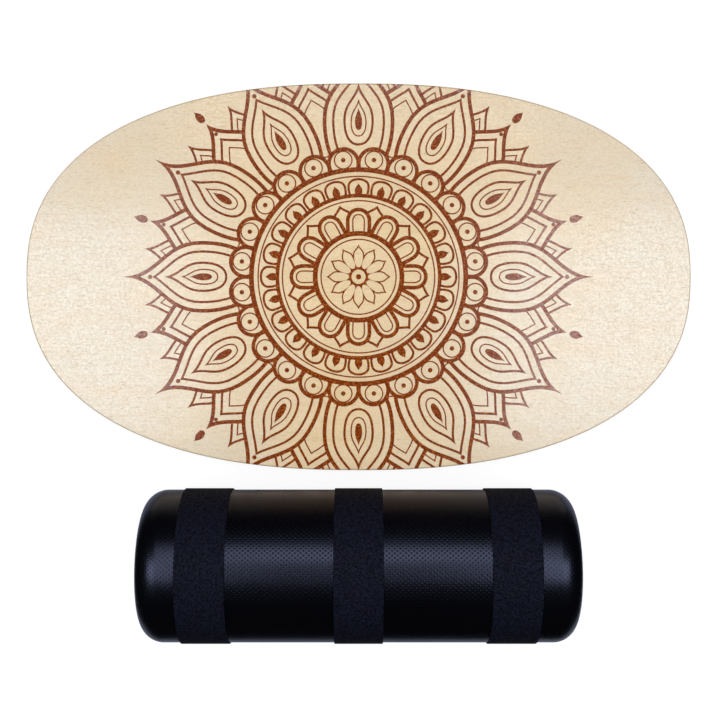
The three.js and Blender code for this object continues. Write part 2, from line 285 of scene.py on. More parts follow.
class Wiring:
    """Adds nodes to one node tree. An input is a socket to join, or a value to set."""

    def __init__(self, tree):
        self.tree = tree

    def add(self, kind, inputs=None, **options):
        node = self.tree.nodes.new(kind)
        for name, value in options.items():
            setattr(node, name, value)
        for name, value in (inputs or {}).items():
            self.feed(node.inputs[name], value)
        return node

    def feed(self, socket, value):
        if isinstance(value, bpy.types.NodeSocket):
            self.tree.links.new(value, socket)
        else:
            socket.default_value = value

    def math(self, operation, first, second=0.0, clamp=False):
        node = self.add("ShaderNodeMath", {0: first, 1: second}, operation=operation, use_clamp=clamp)
        return node.outputs[0]

    def weigh(self, first, share, second):
        """A share of the first value, and the rest of the second."""
        rest = self.math("MULTIPLY", second, 1.0 - share)
        return self.math("ADD", self.math("MULTIPLY", first, share), rest)

    def remap(self, value, low, high, to_low=0.0, to_high=1.0):
        inputs = {0: value, 1: low, 2: high, 3: to_low, 4: to_high}
        return self.add("ShaderNodeMapRange", inputs).outputs[0]

    def mix(self, factor, first, second):
        return self.add("ShaderNodeMix", {0: factor, 6: first, 7: second}, data_type="RGBA").outputs[2]

    def tint(self, colour, other, mask, low, high, most=1.0):
        """A colour that turns into the other, up to `most`, as the mask goes from low to high."""
        return self.mix(self.remap(mask, low, high, 0.0, most), colour, other)

    def axes(self, vector):
        return self.add("ShaderNodeSeparateXYZ", {0: vector}).outputs

    def stretch(self, vector, scale=(1, 1, 1), place=(0, 0, 0), turn=(0, 0, 0)):
        inputs = {"Vector": vector, "Scale": scale, "Location": place, "Rotation": turn}
        return self.add("ShaderNodeMapping", inputs).outputs[0]

    def noise(self, vector, scale=1.0, detail=2.0, roughness=0.5, distortion=0.0):
        inputs = {"Vector": vector, "Scale": scale, "Detail": detail}
        inputs.update({"Roughness": roughness, "Distortion": distortion})
        return self.add("ShaderNodeTexNoise", inputs).outputs[0]

    def bump(self, height, distance, strength=1.0, normal=None):
        inputs = {"Height": height, "Distance": distance, "Strength": strength}
        if normal is not None:
            inputs["Normal"] = normal
        return self.add("ShaderNodeBump", inputs).outputs[0]


def node_group(name, inputs, outputs, wire):
    """The shader node group of that name. On its first use, `wire` joins its inputs to its outputs."""
    if name in bpy.data.node_groups:
        return bpy.data.node_groups[name]
    tree = bpy.data.node_groups.new(name, "ShaderNodeTree")
    for label, kind in inputs.items():
        tree.interface.new_socket(name=label, in_out="INPUT", socket_type=kind)
    for label in outputs:
        tree.interface.new_socket(name=label, in_out="OUTPUT", socket_type="NodeSocketFloat")
    w = Wiring(tree)
    wire(w, w.add("NodeGroupInput").outputs, w.add("NodeGroupOutput").inputs)
    return tree


def wire_wood_grain(w, entry, leave):
    def drawn_out(scale, **texture):
        return w.noise(w.stretch(entry["Vector"], scale), **texture)

    broad = drawn_out((1.6, 14, 14), detail=3.0, roughness=0.55, distortion=0.6)
    bands = drawn_out((5, 95, 95), detail=3.0, roughness=0.6, distortion=0.4)
    w.feed(leave["Streaks"], w.weigh(broad, 0.55, bands))
    w.feed(leave["Fibres"], drawn_out((24, 700, 700), detail=2.0, roughness=0.6))
    w.feed(leave["Pores"], w.remap(drawn_out((150, 900, 900), detail=1.0), 0.62, 0.74))


def grain_over(w, vector):
    """Wood grain along the vector's X: broad streaks, fine fibres and short pores, each 0 to 1."""
    sockets = {"Vector": "NodeSocketVector"}
    tree = node_group("Wood grain", sockets, ("Streaks", "Fibres", "Pores"), wire_wood_grain)
    return w.add("ShaderNodeGroup", {"Vector": vector}, node_tree=tree).outputs


def wire_grit(w, entry, leave):
    w.feed(leave["Blotches"], w.noise(entry["Vector"], entry["Scale"], detail=5.0, roughness=0.7))
    cells = w.add("ShaderNodeTexVoronoi", {"Vector": entry["Vector"], "Scale": entry["Scale"]})
    w.feed(leave["Specks"], w.remap(cells.outputs["Distance"], 0.15, 0.45, 1.0, 0.0))


def grit_over(w, vector, grains_per_metre):
    """Fine grit, as in a non-slip lacquer or on a moulded skin: soft blotches and sharp specks."""
    sockets = {"Vector": "NodeSocketVector", "Scale": "NodeSocketFloat"}
    tree = node_group("Grit", sockets, ("Blotches", "Specks"), wire_grit)
    inputs = {"Vector": vector, "Scale": grains_per_metre}
    return w.add("ShaderNodeGroup", inputs, node_tree=tree).outputs


def skin_axes(w):
    """Distance along the profile as X, and turns or distance round it as Y, from the UV map `Skin`."""
    return w.axes(w.add("ShaderNodeUVMap", uv_map="Skin").outputs[0])


def attribute(w, name):
    return w.add("ShaderNodeAttribute", attribute_name=name).outputs["Fac"]


def emptied(holder):
    """The wiring of a material's or a world's node tree, with its first nodes cleared away."""
    holder.use_nodes = True
    holder.node_tree.nodes.clear()
    return Wiring(holder.node_tree)


def material(name, paint, plain_inputs=None):
    """A material whose `paint` function takes (wiring, object coordinates) and gives socket inputs."""
    if name in bpy.data.materials:
        return bpy.data.materials[name]
    made = bpy.data.materials.new(name)
    w = emptied(made)
    inputs = dict(plain_inputs or {})
    inputs.update(paint(w, w.add("ShaderNodeTexCoord").outputs["Object"]))
    shader = w.add("ShaderNodeBsdfPrincipled", inputs)
    w.add("ShaderNodeOutputMaterial", {"Surface": shader.outputs[0]})
    return made


def veneer_paint(seed):
    """Lacquered outer veneer, its grain along the board. The seed picks the sheet.

    Its tone changes, in metres, with the distance from the board's middle and towards its far edge: painted
    glare makes it paler and greyer towards the ends, and painted shade darker and duller towards the far
    edge.
    """
    def paint(w, coordinates):
        look = settings().deck
        centred = w.stretch(coordinates, place=(-DECK_CENTRE.x, -DECK_CENTRE.y, 0))
        sheet = w.stretch(centred, place=(seed, 0, 0))
        grain = grain_over(w, sheet)
        grit = grit_over(w, w.stretch(sheet, (0.85, 1, 1)), 450.0)
        place = w.axes(centred)
        patchy = w.math("MULTIPLY", w.math("SUBTRACT", w.noise(sheet, 9.0), 0.5), 0.25)
        glare_reach = w.math("ADD", w.math("ABSOLUTE", place["X"]), patchy)
        glare_reach = w.math("SUBTRACT", glare_reach, w.math("MULTIPLY", place["Y"], 0.3))
        shade_reach = w.math("ADD", place["Y"], w.math("MULTIPLY", patchy, 0.4))
        flush = w.noise(w.stretch(sheet, (9, 30, 30), (4, 0, 0)), detail=3.0, roughness=0.6)
        colour = w.tint(look.pale_veneer, look.deep_veneer, grain["Streaks"], 0.34, 0.66)
        # Painted shade: the veneer turns darker and duller towards the board's far edge.
        colour = w.tint(colour, look.far_shade_veneer, shade_reach, 0.09, 0.2, 0.9)
        # Painted glare: the veneer turns paler and greyer towards the board's ends.
        colour = w.tint(colour, look.end_glare_veneer, glare_reach, 0.04, 0.3)
        colour = w.tint(colour, look.flushed_veneer, flush, 0.45, 0.7, 0.35)
        colour = w.tint(colour, look.deep_veneer, grain["Fibres"], 0.35, 0.7, 0.35)
        colour = w.tint(colour, look.pore, grain["Pores"], 0.0, 1.0, 0.45)
        colour = w.tint(colour, look.pore, grit["Blotches"], 0.42, 0.66, 0.44)
        colour = w.tint(colour, look.rim, attribute(w, "rim"), 0.0, 1.0, 0.8)
        glossy = w.remap(grit["Blotches"], 0.42, 0.58, 1.1, 0.0)
        return {
            "Base Color": colour,
            "Roughness": w.remap(grit["Blotches"], 0.3, 0.7, 0.22, 0.3),
            "Coat Weight": w.math("SUBTRACT", glossy, w.math("MULTIPLY", grit["Specks"], 0.4), clamp=True),
            "Normal": w.bump(w.weigh(grit["Blotches"], 0.7, grain["Fibres"]), 0.06 * MM, 0.6),
        }
    return paint


def ply_paint(tone, turn):
    """A bare inner layer, seen only at its sanded edge. `turn` swings its grain from the X axis."""
    def paint(w, coordinates):
        grain = grain_over(w, w.stretch(coordinates, turn=(0, 0, turn)))
        darker = toned(tone, 0.7)
        colour = w.tint(tone, darker, grain["Streaks"], 0.3, 0.7, 0.55)
        colour = w.tint(colour, darker, grain["Fibres"], 0.35, 0.75, 0.5)
        return {
            "Base Color": w.tint(colour, darker, grain["Pores"], 0.0, 1.0, 0.6),
            "Roughness": w.remap(grain["Fibres"], 0.2, 0.8, 0.55, 0.75),
            "Normal": w.bump(grain["Fibres"], 0.12 * MM, 0.5),
        }
    return paint


def ink_paint(w, coordinates):
    look = settings().rosette
    grain = grain_over(w, coordinates)
    grit = grit_over(w, coordinates, 430.0)
    sparkle = grit_over(w, coordinates, 330.0)
    thinned = w.math("ADD", w.remap(grit["Blotches"], 0.5, 0.6), w.math("MULTIPLY", grain["Pores"], 0.3))
    return {
        "Base Color": w.mix(w.math("MINIMUM", thinned, 1.0), look.ink, look.thin_ink),
        "Roughness": w.remap(grit["Blotches"], 0.3, 0.7, 0.14, 0.2),
        "Coat Weight": w.remap(sparkle["Blotches"], 0.42, 0.52),
        "Normal": w.bump(grit["Blotches"], 0.05 * MM, 0.6),
    }


def stop_paint(w, coordinates):
    look = settings().stops
    grain = grain_over(w, w.stretch(coordinates, turn=(0, 0, QUARTER_TURN)))
    colour = w.tint(look.pale_wood, look.deep_wood, grain["Streaks"], 0.32, 0.68)
    colour = w.tint(colour, look.deep_wood, grain["Fibres"], 0.35, 0.75, 0.35)
    return {
        "Base Color": w.tint(colour, look.deep_wood, grain["Pores"], 0.0, 1.0, 0.45),
        "Roughness": w.remap(grain["Fibres"], 0.2, 0.8, 0.42, 0.6),
        "Normal": w.bump(grain["Fibres"], 0.15 * MM, 0.5),
    }


def steel_paint(w, coordinates):
    look = settings().screws
    grit = grit_over(w, coordinates, 1500.0)
    return {
        "Base Color": w.tint(look.steel, toned(look.steel, 0.6), grit["Blotches"], 0.4, 0.75, 0.6),
        "Roughness": w.remap(grit["Blotches"], 0.2, 0.8, 0.25, 0.45),
        "Normal": w.bump(grit["Blotches"], 0.05 * MM, 0.4),
    }


def pit_height(w):
    """1 in the middle of a moulded pit and 0 between pits."""
    look = settings().roller
    skin = skin_axes(w)
    along = w.math("COSINE", w.math("MULTIPLY", skin["X"], FULL_TURN / look.pit_pitch))
    around = w.math("COSINE", w.math("MULTIPLY", skin["Y"], FULL_TURN * look.pit_rows))
    return w.math("MULTIPLY", w.remap(w.math("MULTIPLY", along, around), 0.2, 1.0), attribute(w, "pitted"))


def shell_paint(w, coordinates):
    look = settings().roller
    smears = w.noise(w.stretch(coordinates, (6, 30, 30)), detail=4.0, roughness=0.6)
    grit = grit_over(w, coordinates, 900.0)
    pits = pit_height(w)
    grain = w.bump(grit["Blotches"], 0.08 * MM, 0.15)
    return {
        "Base Color": w.tint(look.plastic, toned(look.plastic, 1.9), smears, 0.52, 0.8, 0.6),
        # Painted shade in the pits: Metallic on the black plastic takes away their reflection, so they show
        # dark.
        "Metallic": w.math("MULTIPLY", pits, 0.65),
        "Roughness": w.math("ADD", w.remap(smears, 0.3, 0.7, 0.27, 0.32), w.math("MULTIPLY", pits, 0.15)),
        "Normal": w.bump(w.math("SUBTRACT", 1.0, pits), look.pit_depth, 1.0, grain),
    }


def plug_paint(w, coordinates):
    look = settings().roller
    grit = grit_over(w, coordinates, 1100.0)
    return {
        "Base Color": w.tint(look.plastic, toned(look.plastic, 1.8), grit["Blotches"], 0.45, 0.8, 0.7),
        "Roughness": w.remap(grit["Blotches"], 0.2, 0.8, 0.42, 0.6),
        "Normal": w.bump(grit["Blotches"], 0.1 * MM, 0.4),
    }


def cloth_paint(w, coordinates):
    look = settings().bands
    skin = skin_axes(w)
    lumps = w.noise(coordinates, 430.0, roughness=0.6)
    wander = w.math("MULTIPLY", w.math("SUBTRACT", lumps, 0.5), 2.2)

    def threads(distance):
        turns = w.math("MULTIPLY", distance, FULL_TURN / look.thread_pitch)
        return w.math("SINE", w.math("ADD", turns, wander))

    weave = w.remap(w.math("MULTIPLY", threads(skin["X"]), threads(skin["Y"])), -1.0, 1.0)
    raised = w.weigh(weave, 0.22, lumps)
    return {
        # The cloth darkens where its surface lies low: partly its own mottled tone, partly painted shade in
        # the hollows.
        "Base Color": w.tint(look.hollow, look.cloth, raised, 0.4, 0.62),
        "Roughness": w.remap(raised, 0.4, 0.6, 0.8, 0.6),
        "Normal": w.bump(raised, 0.6 * MM, 0.6),
    }


def only(kind, parts):
    return [part for part in parts if isinstance(part, kind)]


def object_of(name, shape):
    """Turns a bmesh into a linked object."""
    mesh = bpy.data.meshes.new(name)
    shape.to_mesh(mesh)
    shape.free()
    made = bpy.data.objects.new(name, mesh)
    bpy.context.scene.collection.objects.link(made)
    return made


def piece(name, shape, finish, body, slot, *nodes, sharp=35.0):
    """Makes the named piece from a bmesh, tied to its body and to the nodes it stands for."""
    made = object_of(name, shape)
    made.data.set_sharp_from_angle(angle=math.radians(sharp))
    made.data.materials.append(finish)
    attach(made, body)
    if nodes:
        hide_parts(*nodes)


def smooth_all(shape):
    for face in shape.faces:
        face.smooth = True


def face_outwards(shape):
    bmesh.ops.recalc_face_normals(shape, faces=shape.faces)


def shift(shape, way):
    bmesh.ops.translate(shape, verts=shape.verts, vec=way)


def shift_to_axle(shape, along):
    """Moves a form drawn about the X axis onto the roller's own axis."""
    shift(shape, (along, ROLLER_CENTRE.y, ROLLER_CENTRE.z))


def add_shape(target, extra):
    """Adds one bmesh to another, and frees it."""
    mesh = bpy.data.meshes.new("extra")
    extra.to_mesh(mesh)
    extra.free()
    target.from_mesh(mesh)
    bpy.data.meshes.remove(mesh)


def cut_away(target, cutter):
    """Subtracts one bmesh from another and gives the result."""
    body, knife = object_of("target", target), object_of("cutter", cutter)
    cut = body.modifiers.new("Cut", "BOOLEAN")
    cut.operation = "DIFFERENCE"
    cut.solver = "EXACT"
    cut.object = knife
    result = bmesh.new()
    result.from_object(body, bpy.context.evaluated_depsgraph_get())
    for thing in (body, knife):
        mesh = thing.data
        bpy.data.objects.remove(thing)
        bpy.data.meshes.remove(mesh)
    return result


def drawn_copy(shape, faces, way):
    """Thickens faces along a vector, and gives the vertices of their far side."""
    made = bmesh.ops.extrude_face_region(shape, geom=faces, use_keep_orig=True)["geom"]
    far = only(BMVert, made)
    bmesh.ops.translate(shape, verts=far, vec=way)
    return far


def rounded(shape, edges, radius, steps):
    bmesh.ops.bevel(
        shape, geom=edges, affect="EDGES", offset_type="OFFSET", offset=radius, segments=steps,
        profile=0.5, material=-1, clamp_overlap=True,
    )


def arc(across, along, radius, start, sweep, steps):
    """Points on an arc as (across, along) pairs."""
    bearings = [start + sweep * i / steps for i in range(steps + 1)]
    return [(across + radius * math.cos(b), along + radius * math.sin(b)) for b in bearings]


def spun(profile, steps, closed=False, turn=FULL_TURN, start=0.0):
    """A bmesh of (radius, along) points turned about the X axis.

    The profile ends on the axis, or is closed. The layer `reach` holds the distance along it.
    """
    shape = bmesh.new()
    reach = shape.verts.layers.float.new("reach")
    swing = Matrix.Rotation(start, 3, "X")
    verts, gone, last = [], 0.0, None
    for radius, along in profile:
        here = Vector((along, 0, radius))
        gone += (here - last).length if last else 0.0
        last = here
        vert = shape.verts.new(swing @ here)
        vert[reach] = gone
        verts.append(vert)
    geom = verts + [shape.edges.new(pair) for pair in zip(verts, verts[1:])]
    if closed:
        geom.append(shape.edges.new((verts[-1], verts[0])))
    whole = turn == FULL_TURN
    if not whole:
        geom.append(shape.faces.new(verts))
    bmesh.ops.spin(
        shape, geom=geom, cent=(0, 0, 0), axis=(1, 0, 0), angle=turn, steps=steps, use_merge=whole,
    )
    bmesh.ops.remove_doubles(shape, verts=shape.verts, dist=TINY)
    face_outwards(shape)
    smooth_all(shape)
    return shape


def skin_uv(shape, girth=1.0):
    """Gives a spun shape the UV map `Skin`: U is metres along the profile, V is turns times girth."""
    reach = shape.verts.layers.float["reach"]
    skin = shape.loops.layers.uv.new("Skin")
    for face in shape.faces:
        middle = face.calc_center_median()
        home = math.atan2(middle.y, middle.z) / FULL_TURN
        for loop in face.loops:
            spot = loop.vert.co
            turns = home if spot.y == spot.z == 0 else math.atan2(spot.y, spot.z) / FULL_TURN
            turns += round(home - turns)
            loop[skin].uv = (loop.vert[reach], turns * girth)


def oval_point(bearing, inset):
    """The deck's outline at a bearing from its centre, moved in by `inset` square to the outline."""
    power = settings().deck.outline_power
    half = DECK_HALF_LENGTH, DECK_HALF_WIDTH
    way = math.cos(bearing), math.sin(bearing)
    stretch = (abs(way[0]) ** power + abs(way[1]) ** power) ** (-1 / power)
    point = Vector([size * stretch * part for size, part in zip(half, way)])
    slope = Vector([
        math.copysign(abs(spot / size) ** (power - 1) / size, part)
        for spot, size, part in zip(point, half, way)
    ])
    return point - slope.normalized() * inset + DECK_CENTRE.xy


def depth_in_oval(point):
    """How far a point near the deck's outline lies inside it."""
    power = settings().deck.outline_power
    half = DECK_HALF_LENGTH, DECK_HALF_WIDTH
    x, y = (abs(spot - middle) / size for spot, middle, size in zip(point, DECK_CENTRE, half))
    level = (x ** power + y ** power) ** (1 / power)
    steep = math.hypot(x ** (power - 1) / half[0], y ** (power - 1) / half[1])
    return (1 - level) / max(steep / max(level, TINY) ** (power - 1), TINY)


def rounding(distance):
    """How far the rounded edge lies inside the outline at a distance from the face, or the reverse."""
    radius = settings().deck.edge_radius
    rest = radius - min(max(distance, 0.0), radius)
    return radius - math.sqrt(radius ** 2 - rest ** 2)


def edge_levels(low, high):
    """Heights at which a layer from `low` to `high` needs a ring of points."""
    look = settings().deck
    levels = {low, high}
    for i in range(look.edge_steps + 1):
        fall = look.edge_radius * (1 - math.cos(QUARTER_TURN * i / look.edge_steps))
        for level in (DECK_TOP - fall, DECK_BOTTOM + fall):
            if low + LEVEL_GAP < level < high - LEVEL_GAP:
                levels.add(level)
    return sorted(levels)


def layer_shape(low, high):
    """One layer of the deck, its outline following the rounded edges.

    The layer `rim` falls from 1 at the full outline to 0 where the rounding meets the face.
    """
    look = settings().deck
    shape = bmesh.new()
    step = shape.verts.layers.int.new("step")
    rim = shape.verts.layers.float.new("rim")
    bmesh.ops.create_circle(shape, segments=look.outline_steps, radius=1.0)
    for index, vert in enumerate(shape.verts):
        vert[step] = index
    verts, ring = list(shape.verts), list(shape.edges)
    for number, level in enumerate(edge_levels(low, high)):
        if number:
            made = bmesh.ops.extrude_edge_only(shape, edges=ring)["geom"]
            verts = only(BMVert, made)
            fresh = set(verts)
            ring = [edge for edge in only(BMEdge, made) if set(edge.verts) <= fresh]
        inset = rounding(min(DECK_TOP - level, level - DECK_BOTTOM))
        for vert in verts:
            vert.co = oval_point(FULL_TURN * vert[step] / look.outline_steps, inset).to_3d()
            vert.co.z = level
            vert[rim] = 1.0 - min(inset / look.edge_radius, 1.0)
    smooth_all(shape)
    bmesh.ops.holes_fill(shape, edges=shape.edges, sides=0)
    face_outwards(shape)
    return shape


def screw_lines(name):
    """A screw's head radius, and how far the end of its cone and its tip lie above its foot."""
    look = settings().screws
    low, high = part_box(name)
    head = (high.x - low.x) / 2
    return head, look.head_rim + head - look.shank_radius, high.z - low.z


def stand_up(shape, name):
    """Turns a form drawn along X upright, with its foot in the middle of a screw's head."""
    low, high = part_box(name)
    centre = (low + high) / 2
    bmesh.ops.rotate(shape, verts=shape.verts, matrix=Matrix.Rotation(-QUARTER_TURN, 3, "Y"))
    shift(shape, (centre.x, centre.y, low.z))


def screw_holes(side=""):
    """The countersunk holes of all screws, or of one side's, open below and with room all round."""
    look = settings().screws
    room, below = look.hole_clearance, -3 * MM
    bore = look.shank_radius + room
    holes = bmesh.new()
    for name in SCREW_NODES:
        if side in name:
            head, cone_end, length = screw_lines(name)
            hole = spun([
                (0, below), (head + room, below), (head + room, look.head_rim), (bore, cone_end),
                (bore, length - look.tip_length + room), (0, length + room),
            ], SMALL_ROUND_STEPS)
            stand_up(hole, name)
            add_shape(holes, hole)
    return holes


def build_deck():
    look = settings().deck
    lacquered = {"Specular IOR Level": 0.3, "Coat Roughness": 0.16}
    bare = {"Specular IOR Level": 0.3}
    face = material("Face veneer", veneer_paint(0.0), lacquered)
    back = material("Back veneer", veneer_paint(3.7), lacquered)
    along = material("Long ply", ply_paint(look.long_ply, 0.0), bare), "long_grain_ply"
    across = material("Cross ply", ply_paint(look.cross_ply, QUARTER_TURN), bare), "cross_grain_ply"
    layers = [
        ("face_veneer", "veneer_face", face, "face_veneer"),
        ("back_veneer", "veneer_back", back, "back_veneer"),
    ]
    for number in range(2, PLY_COUNT):
        finish_and_slot = along if number % 2 else across
        layers.append((f"ply_{number:02d}", f"layer_{number:02d}", *finish_and_slot))
    screw_tip = max(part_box(name)[1].z for name in SCREW_NODES)
    for node, name, finish, slot in layers:
        low, high = (corner.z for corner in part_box(node))
        shape = layer_shape(low, high)
        if low < screw_tip:
            shape = cut_away(shape, screw_holes())
        for part in shape.faces:
            part.smooth = abs(part.normal.z) < LEVEL_NORMAL
        piece(name, shape, finish, "board", slot, node)


class Sheet:
    """Outlines painted one over another. Millimetres here, turned into metres when it is printed."""

    def __init__(self):
        self.outlines = []

    def paint(self, outline, is_ink, count=1, turn=0.0):
        """Adds an outline, repeated `count` times round the centre from `turn` degrees."""
        for copy in range(count):
            swing = Matrix.Rotation(math.radians(turn) + FULL_TURN * copy / count, 2)
            self.outlines.append(([swing @ Vector(point) for point in outline], is_ink))

    def line(self, half, width, count, turn=0.0):
        """A closed line of one width, whose outer side is `half` and its mirror image."""
        self.paint(mirrored(half), True, count, turn)
        self.paint(mirrored(moved_in(half, width)), False, count, turn)

    def disc(self, radius, is_ink, at=0.0, count=1, turn=0.0, steps=36):
        rim = arc(0, 0, radius, 0, FULL_TURN, steps)[:-1]
        self.paint([Vector((at, 0)) + Vector(point) for point in rim], is_ink, count, turn)

    def ring(self, radius, width, at=0.0, count=1, turn=0.0, steps=36):
        self.disc(radius, True, at, count, turn, steps)
        self.disc(radius - width, False, at, count, turn, steps)


def petal_side(root, tip, widest, half_width, tip_handle, root_share, swell, steps):
    """Upper half of a petal along X, in two curves that meet at its widest place."""
    crest = Vector((widest, half_width))
    first = interpolate_bezier(
        Vector((root, 0)), Vector((root, half_width * root_share)),
        Vector((widest - (widest - root) * swell, half_width)), crest, steps,
    )
    second = interpolate_bezier(
        crest, Vector((widest + (tip - widest) * swell, half_width)),
        Vector(tip_handle), Vector((tip, 0)), steps,
    )
    return first + second[1:]


def leaf(root, tip, half_width, widest_share, ogee_share, steps=12):
    """Upper half of a leaf from its round root to its drawn-out tip, along X."""
    widest = root + (tip - root) * widest_share
    handle = tip - (tip - widest) * 0.45, (1 - ogee_share) * half_width * 0.9
    return petal_side(root, tip, widest, half_width, handle, root_share=0.75, swell=0.5, steps=steps)


def arch(root, tip, half_width, widest_share, steps=10):
    """Upper half of a petal with a round tip."""
    widest = root + (tip - root) * widest_share
    handle = tip, half_width * 0.6
    return petal_side(root, tip, widest, half_width, handle, root_share=0.9, swell=0.55, steps=steps)


def moved_in(half, width):
    """Half an outline moved inwards by a line's width, cut off where it crosses the axis."""
    moved = []
    for index, point in enumerate(half):
        along = half[min(index + 1, len(half) - 1)] - half[max(index - 1, 0)]
        if index == 0:
            along = Vector((0, 1))
        along.normalize()
        moved.append(point + width * Vector((along.y, -along.x)))
    kept = []
    for point, after in zip(moved, moved[1:]):
        if point.y >= 0:
            kept.append(point)
        if (point.y >= 0) != (after.y >= 0):
            kept.append(point.lerp(after, point.y / (point.y - after.y)))
    if moved[-1].y >= 0:
        kept.append(moved[-1])
    return kept


def mirrored(half):
    """The whole outline, counter-clockwise, of an upper half that starts and ends on the axis."""
    lower = [Vector((point.x, -point.y)) for point in half]
    return lower + [point for point in reversed(half) if point.y > TINY]


def rosette(sheet, thin, medium, bold, heavy):
    """A twelvefold rosette: outer leaves, a beaded collar, an arcade, a ring of petals and a star."""
    fold, between = 12, 15.0
    twice, quarter = 2 * fold, between / 2
    sheet.paint(mirrored(leaf(243, 259, 4.2, 0.4, 0.6, 6)), True, fold, between)
    gap = leaf(160, 240, 17, 0.5, 0.7)
    sheet.line(gap, medium, twice, quarter)
    sheet.line(moved_in(gap, 7), thin, twice, quarter)
    back = leaf(118, 240, 33, 0.52, 0.75)
    sheet.line(back, bold, fold, between)
    sheet.line(moved_in(back, 10), medium, fold, between)
    sheet.line(moved_in(back, 19), thin, fold, between)
    sheet.disc(2.2, True, 224.5, fold, between, 12)
    main = leaf(112, 262, 40, 0.42, 0.95, 14)
    sheet.line(main, bold, fold)
    sheet.line(moved_in(main, 10.5), medium, fold)
    sheet.line(leaf(146, 216, 17, 0.4, 0.7), medium, fold)
    sheet.line(leaf(156, 198, 9, 0.38, 0.6), thin, fold)
    sheet.paint(mirrored(leaf(163, 188, 4, 0.4, 0.6, 6)), True, fold)
    sheet.disc(2.5, True, 232, fold, 0, 12)
    sheet.ring(18.5, bold, 127, twice, quarter)
    sheet.ring(10.5, thin, 131, twice, quarter)
    sheet.disc(2.6, True, 131, twice, quarter, 12)
    sheet.ring(122, heavy, steps=144)
    sheet.ring(112.5, thin, steps=144)
    sheet.line(arch(86, 110, 12.4, 0.62), medium, twice)
    sheet.paint(mirrored(leaf(90, 104, 4.2, 0.4, 0.5, 8)), True, twice)
    sheet.ring(92.5, bold, steps=120)
    sheet.ring(85.5, thin, steps=120)
    sheet.line(leaf(36, 82, 13.5, 0.6, 0.5), medium, fold, between)
    petal = arch(30, 77, 14.2, 0.68)
    sheet.line(petal, bold, fold)
    sheet.line(moved_in(petal, 7), thin, fold)
    sheet.ring(51, heavy, steps=96)
    sheet.ring(42.5, thin, steps=96)
    sheet.line(leaf(9, 36, 6.4, 0.55, 0.6, 8), thin, fold)
    sheet.ring(10.5, medium)
    sheet.disc(3, True, steps=20)


def inked_triangles(sheet, scale, margins):
    """The printed parts of a sheet as (points, triangles), kept inside the deck's outline.

    Every triangle knows the outlines that hold it, and the one painted last decides.
    """
    steps = settings().deck.outline_steps
    outlines = [[oval_point(FULL_TURN * i / steps, inset) for i in range(steps)] for inset in margins]
    for outline, _ in sheet.outlines:
        outlines.append([point * scale + DECK_CENTRE.xy for point in outline])
    points, faces = [], []
    for outline in outlines:
        faces.append(list(range(len(points), len(points) + len(outline))))
        points += outline
    inside_only, closeness, tell_holders = 1, 1e-7, True
    corners, _, triangles, _, _, held_by = delaunay_2d_cdt(
        points, [], faces, inside_only, closeness, tell_holders,
    )
    kept = []
    for triangle, holders in zip(triangles, held_by):
        top = max(holders, default=0) - len(margins)
        if 0 in holders and top >= 0 and sheet.outlines[top][1]:
            kept.append(triangle)
    return corners, kept


def build_print():
    look = settings().rosette
    deck = settings().deck
    sheet = Sheet()
    rosette(sheet, *(width / MM for width in (look.thin, look.medium, look.bold, look.heavy)))
    reach = max(point.length for outline, _ in sheet.outlines for point in outline)
    steps = range(deck.edge_steps + 1)
    roundings = [deck.edge_radius * (1 - math.sin(QUARTER_TURN * i / deck.edge_steps)) for i in steps]
    margins = [look.edge_margin] + [inset for inset in roundings if inset > look.edge_margin]
    corners, triangles = inked_triangles(sheet, look.radius / reach, margins)
    shape = bmesh.new()
    verts = {}
    for triangle in triangles:
        for index in triangle:
            if index not in verts:
                spot = corners[index]
                height = DECK_TOP - rounding(depth_in_oval(spot)) - look.sink
                verts[index] = shape.verts.new((spot.x, spot.y, height))
        shape.faces.new([verts[index] for index in triangle])
    drawn_copy(shape, list(shape.faces), (0, 0, look.sink + look.thickness))
    face_outwards(shape)
    ink = material("Ink", ink_paint, {"Specular IOR Level": 0.25, "Coat Roughness": 0.14})
    piece("printed_rosette", shape, ink, "board", "face_veneer")


def build_stops():
    look = settings().stops
    wood = material("Stop wood", stop_paint, {"Coat Weight": 0.15, "Coat Roughness": 0.3})
    end_steps, rim_steps, largest_in_rounding = 12, 8, 100 * MM * MM
    for side in SIDES:
        low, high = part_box(f"stop_{side}")
        shape = bmesh.new()
        bmesh.ops.create_cube(shape, size=1.0)
        bmesh.ops.scale(shape, verts=shape.verts, vec=high - low)
        shift(shape, (low + high) / 2)
        upright = [edge for edge in shape.edges if edge.verts[0].co.xy == edge.verts[1].co.xy]
        rounded(shape, upright, look.end_radius, end_steps)
        rim = [edge for edge in shape.edges if max(vert.co.z for vert in edge.verts) < low.z + LEVEL_GAP]
        rounded(shape, rim, look.edge_radius, rim_steps)
        shape = cut_away(shape, screw_holes(side))
        for face in shape.faces:
            face.smooth = face.calc_area() < largest_in_rounding
        face_outwards(shape)
        piece(f"batten_{side}", shape, wood, "board", "stop_wood", f"stop_{side}")


def thread_shape(length):
    """The screw's thread: a small ridge wound round the core, from the smooth shank to the point."""
    look = settings().screws
    steps_per_turn, sunk_share, width_share = 20, 0.9, 0.56
    turns = int(length / look.thread_pitch)
    foot, half = look.core_radius * sunk_share, look.thread_pitch * width_share / 2
    shape = bmesh.new()
    corners = [(foot, -half), (look.shank_radius, 0), (foot, half)]
    verts = [shape.verts.new((along, 0, radius)) for radius, along in corners]
    face = shape.faces.new(verts)
    bmesh.ops.spin(
        shape, geom=[face, *face.edges, *verts], cent=(0, 0, 0), axis=(1, 0, 0), angle=FULL_TURN * turns,
        steps=steps_per_turn * turns, dvec=(look.thread_pitch / steps_per_turn, 0, 0), use_merge=False,
    )
    face_outwards(shape)
    return shape


